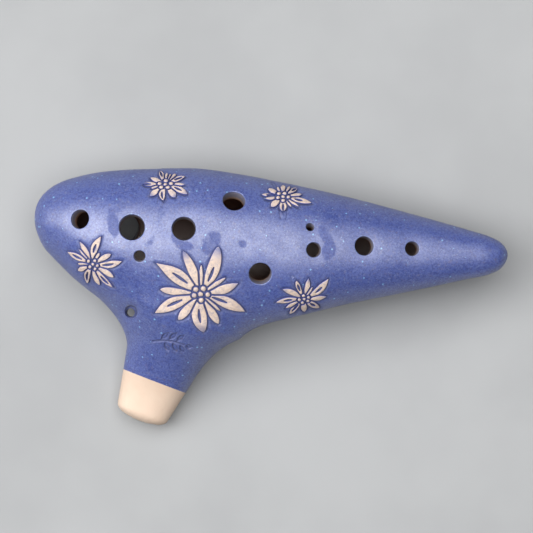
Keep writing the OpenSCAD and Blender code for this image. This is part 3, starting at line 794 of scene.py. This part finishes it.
def sprig_relief(x, y):
    """Depth of the pressed leaf sprig, and the painted shade along the edges of its leaves."""
    n, m = neck_coordinates(x, y, SPRIG_CENTRE)
    inside = np.full(x.shape, -9.0)
    for (ax, ay), (bx, by) in zip(SPRIG_STEM, SPRIG_STEM[1:]):
        inside = np.maximum(inside, 0.28 - line_distance(m, n, ax, ay, bx, by))
    for base_m, base_n, turn, length, half_width in SPRIG_LEAVES:
        ahead, left = turned(m - base_m, n - base_n, turn)
        t = ahead / length
        off = np.abs(left)
        width = half_width * np.sin(np.pi * np.clip(t, 0, 1))
        beyond = np.maximum(0, np.maximum(t - 1, -t)) * length
        leaf = np.where(beyond > 0, -np.hypot(off, beyond), width - off)
        inside = np.maximum(inside, leaf)
    pressed = smooth((inside + 0.12) / 0.3)
    bottom = pressed * (1 - 0.35 * smooth(inside / 0.8))
    rim = np.exp(-((inside + 0.45) / 0.3) ** 2)
    # The darkness is painted shade, strongest just inside the edges of the pressed leaves
    return SPRIG_DEPTH * bottom - 0.08 * rim, 0.8 * np.exp(-((inside - 0.1) / 0.32) ** 2)


CARVINGS = [(flower["centre"], flower["reach"], partial(flower_relief, flower)) for flower in FLOWERS]
CARVINGS.append((SPRIG_CENTRE, SPRIG_REACH, sprig_relief))


def relief(x, y):
    """Depth and darkness of every carved line at plan points; the darkness holds painted shade."""
    depth = np.zeros(len(x))
    dark = np.zeros(len(x))
    for (centre_x, centre_y), reach, carving in CARVINGS:
        region = (np.abs(x - centre_x) < reach) & (np.abs(y - centre_y) < reach)
        if region.any():
            d, k = carving(x[region], y[region])
            depth[region] += d
            dark[region] = np.maximum(dark[region], k)
    return depth, dark


# ---- the clay body as one mesh, then as pieces ----

# Edge lengths of the triangles, and the relief that asks for the shorter ones
PLAIN_EDGE = 1.0
WALL_EDGE = 0.6
JOINT_EDGE = 0.45
WINDOW_EDGE = 0.35
RIM_EDGE = 0.3
LINE_EDGE = 0.17
FAINT_RELIEF = 0.012
CLEAR_RELIEF = 0.05
RIM_NEAR = 1.3
RIM_DEEP = 1.6

# Depth and width of the dish round a finger hole; place, depth and squared size of two hollows
DISH_DEPTH = 0.18
DISH_WIDTH = 2.4
CORD_HOLLOW = (CORD_HOLE[0], CORD_HOLE[1], 1.1, 9.5)
DIMPLE = (-10.4, 19.7, 0.35, 1.3)


def is_top(p):
    """True for points on the upper outside surface."""
    distance, _ = shell_distance(p, OUTER)
    return (distance > -1.2) & (p[:, 2] > mid_height(p[:, 0], p[:, 1]))


def cord_gap(p):
    """Distance from the side of the cord hole, negative in the hole."""
    return np.hypot(p[:, 0] - CORD_HOLE[0], p[:, 1] - CORD_HOLE[1]) - CORD_HOLE[2]


def detail_size(p):
    """Edge length wanted at each point."""
    size = np.full(len(p), PLAIN_EDGE)
    for gap, t in bore_gaps(p, BORES):
        size[(np.abs(gap) < RIM_NEAR) & (np.abs(t) < RIM_DEEP)] = RIM_EDGE
        size[(np.abs(gap) < 0.5) & (t <= -RIM_DEEP) & (t > -8)] = WALL_EDGE
    size[np.abs(cord_gap(p)) < RIM_NEAR] = RIM_EDGE
    n, _ = neck_coordinates(p[:, 0], p[:, 1])
    size[np.abs(n - MOUTHPIECE_LEN) < 0.8] = JOINT_EDGE
    gap, _ = window_distance(p)
    size[(np.abs(gap) < 0.7) & (p[:, 2] < 8)] = WINDOW_EDGE
    top = is_top(p)
    depth = np.zeros(len(p))
    depth[top] = np.abs(relief(p[top, 0], p[top, 1])[0])
    size[depth > FAINT_RELIEF] = RIM_EDGE
    size[depth > CLEAR_RELIEF] = LINE_EDGE
    return size


def clay_mesh():
    """The whole fired body: points in millimetres and triangles."""
    points, quads = surface_net(sample_grid())
    points = settle(points, 4)
    triangles = triangles_of(points, quads)
    points, triangles = refine(points, triangles, detail_size, 4)
    for measure in (parting, neck_plane, mouthpiece_plane):
        points, triangles = cut(points, triangles, measure)
    return points, triangles


def parting(p):
    return p[:, 2] - mid_height(p[:, 0], p[:, 1])


def neck_plane(p):
    return neck_coordinates(p[:, 0], p[:, 1])[0] - NECK_END


def mouthpiece_plane(p):
    return neck_coordinates(p[:, 0], p[:, 1])[0] - MOUTHPIECE_LEN


def hollow(points, centre_x, centre_y, depth, size2):
    return depth * np.exp(-((points[:, 0] - centre_x) ** 2 + (points[:, 1] - centre_y) ** 2) / size2)


def press_dishes(points, top):
    """Depth of the dishes round the finger holes, the cord hole's hollow and one small dimple."""
    depth = np.zeros(len(points))
    for gap, _ in bore_gaps(points, BORES[:len(FINGER_HOLES)]):
        depth += DISH_DEPTH * np.exp(-(np.maximum(gap, 0) / DISH_WIDTH) ** 2) * (gap > -0.5)
    depth += hollow(points, *CORD_HOLLOW)
    depth += hollow(points, *DIMPLE)
    return depth * top


def clay_marks(points):
    """Shades painted into the slip, by name, from 0 to 1 at every point; the dark ring in the cord hole is
    painted shade.
    """
    outer, _ = shell_distance(points, OUTER)
    wall = smooth((-outer - 0.35) / 0.5)
    # inside: bare clay deep in the wall, which the slip material darkens with painted shade
    inside = smooth((-outer - 3.2) / 1.6)
    rim = np.zeros(len(points))
    for gap, t in bore_gaps(points, BORES):
        ring = np.exp(-((gap - 0.15) / 0.3) ** 2) * (np.abs(t) < 0.9) * (gap > -0.3)
        rim = np.maximum(rim, ring)
    # Painted shade: a dark ring in the cord hole, carried by the groove shade in place of wall and inside
    cord_hole_shade = smooth((0.8 - cord_gap(points)) / 0.5)
    return {"wall": wall * (1 - cord_hole_shade), "inside": inside * (1 - cord_hole_shade), "rim": rim, "groove": cord_hole_shade}


# Darker smears in the slip: centre X and Y, two half sizes, turn in degrees, strength
PATCHES = [
    (-57.9, 27.4, 2.1, 5.8, 8, 0.95), (-55.4, 32.9, 3.0, 1.6, 35, 0.75),
    (-31.8, 19.0, 3.6, 1.8, -15, 0.8), (-35.2, 21.6, 1.4, 2.8, 20, 0.65),
    (-21.6, 21.2, 3.8, 3.0, 20, 0.75), (-23.4, 17.8, 2.4, 2.2, 0, 0.65),
    (-10.4, 19.7, 1.5, 1.5, 0, 0.85), (-40.4, 31.2, 1.4, 4.8, -10, 0.6),
    (20.0, 22.9, 2.1, 4.2, 26, 0.95), (21.2, 17.7, 2.5, 4.4, -14, 0.95),
    (-44.5, 20.5, 2.8, 1.8, 30, 0.5), (13.6, 29.6, 2.6, 0.9, 15, 0.5),
]


def slip_patches(points, top):
    """Darkness of the smears in the slip on the upper side."""
    dark = np.zeros(len(points))
    x, y = points[:, 0], points[:, 1]
    for cx, cy, rx, ry, turn, strength in PATCHES:
        ahead, left = turned(x - cx, y - cy, turn)
        dark = np.maximum(dark, strength * smooth((1.15 - np.hypot(ahead / rx, left / ry)) / 0.35))
    return dark * top


def add_object(name, data):
    """New object in the scene with the given mesh, light or camera."""
    obj = bpy.data.objects.new(name, data)
    bpy.context.scene.collection.objects.link(obj)
    return obj


def new_object(name, points, faces, normals=None, marks=None):
    """Mesh object in metres, smooth, with marks as point attributes."""
    mesh = bpy.data.meshes.new(name)
    mesh.vertices.add(len(points))
    mesh.vertices.foreach_set("co", (points * MM).astype(np.float32).ravel())
    sides = faces.shape[1]
    mesh.loops.add(len(faces) * sides)
    mesh.loops.foreach_set("vertex_index", faces.astype(np.int32).ravel())
    mesh.polygons.add(len(faces))
    mesh.polygons.foreach_set("loop_start", np.arange(0, len(faces) * sides, sides, dtype=np.int32))
    mesh.update(calc_edges=True)
    mesh.polygons.foreach_set("use_smooth", np.ones(len(faces), bool))
    for mark, values in (marks or {}).items():
        layer = mesh.attributes.new(mark, "FLOAT", "POINT")
        layer.data.foreach_set("value", values.astype(np.float32))
    if normals is not None:
        mesh.normals_split_custom_set_from_vertices(normals.astype(np.float32))
    return add_object(name, mesh)


def add_piece(name, points, faces, normals, marks, material):
    """Piece made of the given faces only, standing for the CAD node of the same name."""
    used, faces = np.unique(faces, return_inverse=True)
    faces = faces.reshape(-1, 3)
    part = {mark: values[used] for mark, values in marks.items()}
    obj = new_object(name + "_detailed", points[used], faces, normals[used], part)
    obj.data.materials.append(material)
    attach(obj, "root")
    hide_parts(name)


def build_clay(materials):
    """The four clay pieces: one mesh with its relief, divided along the joints."""
    points, triangles = clay_mesh()
    top = is_top(points)
    depth, dark = relief(points[:, 0], points[:, 1])
    depth = depth * top + press_dishes(points, top)
    marks = clay_marks(points)
    # The carved lines' darkness, pooled slip with painted shade, joins the painted shade in the cord hole
    marks["groove"] = np.maximum(marks["groove"], dark * top)
    marks["patch"] = slip_patches(points, top)
    _, direction = clay_field(points)
    points = points - direction * depth[:, None]
    normals = vertex_normals(points, triangles)

    centres = points[triangles].mean(axis=1)
    before_neck_end = neck_plane(centres) < 0.015
    before_line = mouthpiece_plane(centres) < 0
    above = parting(centres) > 0
    groups = {
        "mouthpiece": (before_line, "bare_clay"),
        "neck": (before_neck_end & ~before_line, "blue_slip_neck"),
        "front_shell": (~before_neck_end & above, "blue_slip"),
        "back_shell": (~before_neck_end & ~above, "blue_slip_back"),
    }
    for name, (chosen, slot) in groups.items():
        add_piece(name, points, triangles[chosen], normals, marks, materials[slot])


# ---- flowers as raised petals ----

def flower_mesh(flower):
    """Raised petals and florets of one flower: points, faces and marks."""
    reach = max(p[1] for p in flower["petals"]) + 1
    step = flower["grid"] * 1
    line = np.arange(-reach, reach + step, step)
    x, y = np.meshgrid(line, line, indexing="ij")
    cream, fade, florets, _ = flower_field(flower, x, y)
    inside = cream > 0
    cells = inside[:-1, :-1] | inside[1:, :-1] | inside[:-1, 1:] | inside[1:, 1:]
    slope_x, slope_y = np.gradient(cream, step)
    size2 = np.maximum(slope_x ** 2 + slope_y ** 2, 0.2)
    move = np.where(inside, 0.0, np.clip(-cream, 0, 1.2 * step) / size2)
    px = (x + slope_x * move).ravel()
    py = (y + slope_y * move).ravel()

    number = np.arange(x.size).reshape(x.shape)
    corners = (number[:-1, :-1], number[1:, :-1], number[1:, 1:], number[:-1, 1:])
    quads = np.stack([corner[cells] for corner in corners], axis=1)
    used, quads = np.unique(quads, return_inverse=True)
    quads = quads.reshape(-1, 4)

    deep = np.maximum(cream.ravel()[used], 0)
    dot = smooth(florets.ravel()[used] / 0.2)
    height = -PETAL_SINK + (PETAL_LIFT + PETAL_SINK) * smooth(deep / 0.3) ** 0.7
    height += PETAL_DOME * smooth(deep / 1.6)
    height += FLORET_LIFT * dot * smooth(deep / 0.9)
    points, normals = outer_surface(px[used] + flower["centre"][0], py[used] + flower["centre"][1], 1)
    marks = {"fade": fade.ravel()[used] * (1 - dot), "edge": 1 - smooth(deep / 0.55)}
    return points + normals * height[:, None], quads, marks


def build_flowers(material):
    for flower in FLOWERS:
        points, quads, marks = flower_mesh(flower)
        obj = new_object(flower["node"] + "_petals", points, quads, None, marks)
        obj.data.materials.append(material)
        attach(obj, "root")
        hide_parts(flower["node"])


# ---- materials ----

class Nodes:
    """Short helpers to write a node material."""

    def __init__(self, name):
        self.material = bpy.data.materials.new(name)
        self.material.use_nodes = True
        self.tree = self.material.node_tree
        self.tree.nodes.clear()
        output = self.new("OutputMaterial")
        self.shader = self.new("BsdfPrincipled")
        self.tree.links.new(self.shader.outputs[0], output.inputs[0])
        self.position = self.new("TexCoord").outputs["Object"]

    def new(self, kind, **inputs):
        """New node with the given inputs."""
        node = self.tree.nodes.new("ShaderNode" + kind)
        for name, value in inputs.items():
            self.put(node.inputs[name], value)
        return node

    def put(self, socket, value):
        """Links a socket, or sets a number or a colour."""
        if isinstance(value, bpy.types.NodeSocket):
            self.tree.links.new(value, socket)
        elif isinstance(value, (tuple, list)) and len(value) == 3 and len(socket.default_value) == 4:
            socket.default_value = (*value, 1)
        else:
            socket.default_value = value

    def noise(self, scale, detail=3, rough=0.55):
        node = self.new("TexNoise", Vector=self.position, Scale=scale, Detail=detail, Roughness=rough)
        return node.outputs[0]

    def cells(self, scale):
        node = self.new("TexVoronoi", Vector=self.position, Scale=scale)
        return node.outputs["Distance"], node.outputs["Color"]

    def mark(self, name):
        """A shade painted on the points of the mesh."""
        node = self.new("Attribute")
        node.attribute_name = name
        return node.outputs["Fac"]

    def math(self, kind, a, b=0.0):
        node = self.new("Math")
        node.operation = kind
        self.put(node.inputs[0], a)
        self.put(node.inputs[1], b)
        return node.outputs[0]

    def steps(self, value, low, high, to_low=0.0, to_high=1.0):
        """Smooth step of a value between low and high, mapped to two new ends."""
        node = self.new("MapRange")
        node.interpolation_type = "SMOOTHSTEP"
        for socket, given in zip(node.inputs, (value, low, high, to_low, to_high)):
            self.put(socket, given)
        return node.outputs[0]

    def mix(self, share, a, b):
        node = self.new("Mix")
        node.data_type = "RGBA"
        self.put(node.inputs[0], share)
        self.put(node.inputs[6], a)
        self.put(node.inputs[7], b)
        return node.outputs[2]

    def bump(self, height, distance, strength, normal=None):
        node = self.new("Bump", Strength=strength, Distance=distance, Height=height)
        if normal:
            self.put(node.inputs["Normal"], normal)
        return node.outputs[0]

    def finish(self, colour, roughness, normal, specular=0.5, ior=1.5):
        self.put(self.shader.inputs["Base Color"], colour)
        self.put(self.shader.inputs["Roughness"], roughness)
        self.put(self.shader.inputs["Normal"], normal)
        self.shader.inputs["Specular IOR Level"].default_value = specular
        self.shader.inputs["IOR"].default_value = ior
        return self.material


SLIP = (0.05, 0.08, 0.29)
SLIP_LIGHT = (0.066, 0.1, 0.33)
SLIP_DARK = (0.018, 0.033, 0.19)
# Near-black blue: pooled slip with painted shade in the carved lines, and painted shade in the cord hole
GROOVE_AND_SHADE_BLUE = (0.012, 0.022, 0.12)
RIM_BLUE = (0.12, 0.16, 0.35)
SPECK = (0.2, 0.42, 0.68)
WALL_TINT = (0.14, 0.13, 0.17)
# Bare clay in the holes and inside the body, darkened with painted shade, darkest in the chamber
SHADED_CLAY_WALL = (0.24, 0.16, 0.11)
CHAMBER_SHADE = (0.13, 0.052, 0.03)
CREAM = (0.655, 0.51, 0.4)
CREAM_WARM = (0.635, 0.475, 0.365)
PETAL = (0.67, 0.52, 0.41)
PETAL_PALE = (0.73, 0.585, 0.475)
PETAL_BLUE = (0.12, 0.14, 0.31)
# Inner seam coils: bare clay darkened with painted shade
SHADED_INNER_CLAY = (0.16, 0.1, 0.07)
WINDWAY_CLAY = (0.6, 0.44, 0.32)
WINDWAY_WARM = (0.5, 0.35, 0.25)
FLOOR_GREY = (0.33, 0.335, 0.34)
FLOOR_PALE = (0.37, 0.375, 0.38)


def slip_material(name):
    """Satin blue slip: cloudy, finely grained, with pale specks, darker where it pooled; painted shade
    darkens the carved lines, the cord hole and the bare clay deep in the holes.
    """
    n = Nodes(name)
    cloud = n.steps(n.noise(55, 4, 0.6), 0.35, 0.68)
    colour = n.mix(cloud, SLIP, SLIP_LIGHT)
    mottle = n.steps(n.noise(1200, 2, 0.8), 0.45, 0.6, 0.0, 0.85)
    colour = n.mix(mottle, colour, SLIP_DARK)
    pale = n.steps(n.noise(1500, 2, 0.8), 0.52, 0.66, 0.0, 0.85)
    colour = n.mix(pale, colour, RIM_BLUE)
    wobble = n.steps(n.noise(190, 4, 0.65), 0.3, 0.7, -0.45, 0.3)
    smear = n.steps(n.math("ADD", n.mark("patch"), wobble), 0.1, 0.85, 0.0, 0.75)
    colour = n.mix(n.math("MULTIPLY", smear, 0.4), colour, SLIP_DARK)
    distance, tint = n.cells(380)
    size = n.steps(tint, 0.15, 0.9, 0.0, 0.15)
    speck = n.math("LESS_THAN", distance, size)
    colour = n.mix(n.math("MULTIPLY", speck, 0.85), colour, SPECK)
    colour = n.mix(n.math("MULTIPLY", n.mark("rim"), 0.55), colour, RIM_BLUE)
    # Carved lines: pooled slip with painted shade; the cord hole ring: painted shade
    colour = n.mix(n.math("MULTIPLY", n.mark("groove"), 0.85), colour, GROOVE_AND_SHADE_BLUE)
    ragged = n.steps(n.noise(900, 2), 0.3, 0.7, -0.2, 0.2)
    colour = n.mix(n.steps(n.math("ADD", n.mark("wall"), ragged), 0.3, 0.7), colour, WALL_TINT)
    # Bare clay deeper in the holes is darkened with painted shade, darkest in the chamber
    colour = n.mix(n.steps(n.math("ADD", n.mark("inside"), ragged), 0.1, 0.5), colour, SHADED_CLAY_WALL)
    colour = n.mix(n.steps(n.mark("inside"), 0.85, 1.0), colour, CHAMBER_SHADE)
    matte = n.math("MULTIPLY", n.math("MAXIMUM", smear, n.mark("groove")), 0.45)
    roughness = n.math("ADD", n.steps(n.noise(160, 4, 0.6), 0.3, 0.7, 0.38, 0.52), matte)
    waves = n.bump(n.noise(38, 2), 0.0012, 0.2)
    grain = n.bump(n.noise(1500, 4, 0.75), 0.00004, 0.4, waves)
    return n.finish(colour, roughness, grain, 0.93, 1.7)


def bare_clay_material(name, base, warm, roughness=0.62):
    """Unglazed fired clay: pale, faintly cloudy, with fine pores."""
    n = Nodes(name)
    cloud = n.steps(n.noise(70, 4, 0.6), 0.35, 0.7)
    colour = n.mix(cloud, base, warm)
    pores = n.steps(n.noise(1400, 3, 0.7), 0.62, 0.75, 0.0, 0.35)
    colour = n.mix(pores, colour, tuple(0.72 * v for v in warm))
    normal = n.bump(n.noise(1600, 3, 0.7), 0.0001, 0.4)
    return n.finish(colour, roughness, normal, 0.35)


def petal_material():
    """Clay wiped clean of slip: pale in the middle, stained blue at edges and tips."""
    n = Nodes("petal_clay")
    cloud = n.steps(n.noise(260, 4, 0.65), 0.35, 0.7)
    colour = n.mix(cloud, PETAL, PETAL_PALE)
    blotch = n.noise(420, 4, 0.7)
    tip = n.math("MULTIPLY", n.mark("fade"), n.steps(blotch, 0.25, 0.7, 0.5, 1.0))
    edge = n.math("MULTIPLY", n.mark("edge"), n.steps(blotch, 0.3, 0.7, 0.25, 0.9))
    stain = n.math("MAXIMUM", tip, edge)
    spots = n.steps(n.noise(800, 4, 0.75), 0.42, 0.68, 0.05, 0.45)
    colour = n.mix(n.math("MAXIMUM", stain, spots), colour, PETAL_BLUE)
    colour = n.mix(n.steps(n.mark("edge"), 0.7, 0.95), colour, SLIP_DARK)
    normal = n.bump(n.noise(1500, 3, 0.7), 0.0001, 0.35)
    return n.finish(colour, 0.6, normal, 0.35)


def floor_material():
    n = Nodes("pale_floor")
    colour = n.mix(n.steps(n.noise(9, 4), 0.35, 0.65), FLOOR_GREY, FLOOR_PALE)
    normal = n.bump(n.noise(500, 2), 0.0002, 0.1)
    return n.finish(colour, 0.85, normal, 0.2)


def build_materials():
    materials = {name: slip_material(name) for name in ("blue_slip", "blue_slip_back", "blue_slip_neck")}
    materials["bare_clay"] = bare_clay_material("bare_clay", CREAM, CREAM_WARM)
    # The seam coils inside the chamber are bare clay darkened with painted shade
    materials["inner_clay"] = bare_clay_material("inner_clay", SHADED_INNER_CLAY, SHADED_CLAY_WALL, 0.8)
    materials["windway_clay"] = bare_clay_material("windway_clay", WINDWAY_CLAY, WINDWAY_WARM)
    materials["petal_clay"] = petal_material()
    return materials


BEVEL_WIDTH = 0.12


def finish_cad_nodes(materials):
    """The hidden clay pieces keep their CAD meshes and get materials and soft edges."""
    slots = {
        "windway_floor": "windway_clay", "windway_roof": "windway_clay", "labium": "windway_clay",
        "seam_coil_far": "inner_clay", "seam_coil_near": "inner_clay",
    }
    for node, slot in slots.items():
        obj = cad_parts[node]
        obj.data.materials.clear()
        obj.data.materials.append(materials[slot])
        if slot == "inner_clay":
            smoother = obj.modifiers.new("rounded", "SUBSURF")
            smoother.levels = 2
            smoother.render_levels = 2
        else:
            bevel = obj.modifiers.new("worn edges", "BEVEL")
            bevel.width = BEVEL_WIDTH * MM
            bevel.segments = 2


# ---- stage ----

# The view, in millimetres; sizes and places of floor and lights are in metres
VIEW_CENTRE = (-1.7, 11.3)
VIEW_WIDTH = 197.2
VIEW_PLANE = 23.0
CAMERA_DISTANCE = 2500.0
SENSOR_WIDTH = 36
FLOOR_HALF = 1.5
SKY = (0.95, 0.97, 1.0, 1)
SKY_STRENGTH = 0.05

# Softboxes: name, place, size, power, tilt towards the right
SOFTBOXES = [
    ("ceiling", (-1.0, 0.7, 3.0), (4.8, 3.7), 205, 0.0),
    ("window", (-1.5, 0.6, 2.9), (1.3, 1.3), 10, 0.0),
    ("left_window", (-2.4, 0.3, 1.6), (1.4, 1.4), 34, math.radians(-56)),
]


def build_stage():
    mesh = bpy.data.meshes.new("floor")
    corners = [(x * FLOOR_HALF, y * FLOOR_HALF, 0) for x, y in ((-1, -1), (1, -1), (1, 1), (-1, 1))]
    mesh.from_pydata(corners, [], [(0, 1, 2, 3)])
    floor = add_object("floor", mesh)
    floor.data.materials.append(floor_material())


def add_softbox(name, place, size, power, tilt):
    """A rectangular light that faces down, or leans by tilt towards its right."""
    light = bpy.data.lights.new(name, "AREA")
    light.shape = "RECTANGLE"
    light.size = size[0]
    light.size_y = size[1]
    light.energy = power
    obj = add_object(name, light)
    obj.location = place
    obj.rotation_euler = (0, tilt, 0)


def build_lights():
    for softbox in SOFTBOXES:
        add_softbox(*softbox)
    world = bpy.data.worlds.new("studio")
    world.use_nodes = True
    background = world.node_tree.nodes["Background"]
    background.inputs[0].default_value = SKY
    background.inputs[1].default_value = SKY_STRENGTH
    bpy.context.scene.world = world


def build_camera():
    camera = bpy.data.cameras.new("camera")
    camera.sensor_width = SENSOR_WIDTH
    camera.lens = SENSOR_WIDTH * CAMERA_DISTANCE / VIEW_WIDTH
    camera.clip_end = 10
    obj = add_object("camera", camera)
    obj.location = (VIEW_CENTRE[0] * MM, VIEW_CENTRE[1] * MM, (CAMERA_DISTANCE + VIEW_PLANE) * MM)
    bpy.context.scene.camera = obj


scene_materials = build_materials()
build_clay(scene_materials)
build_flowers(scene_materials["petal_clay"])
finish_cad_nodes(scene_materials)
build_stage()
build_lights()
build_camera()
bpy.context.scene.view_settings.view_transform = "Standard"
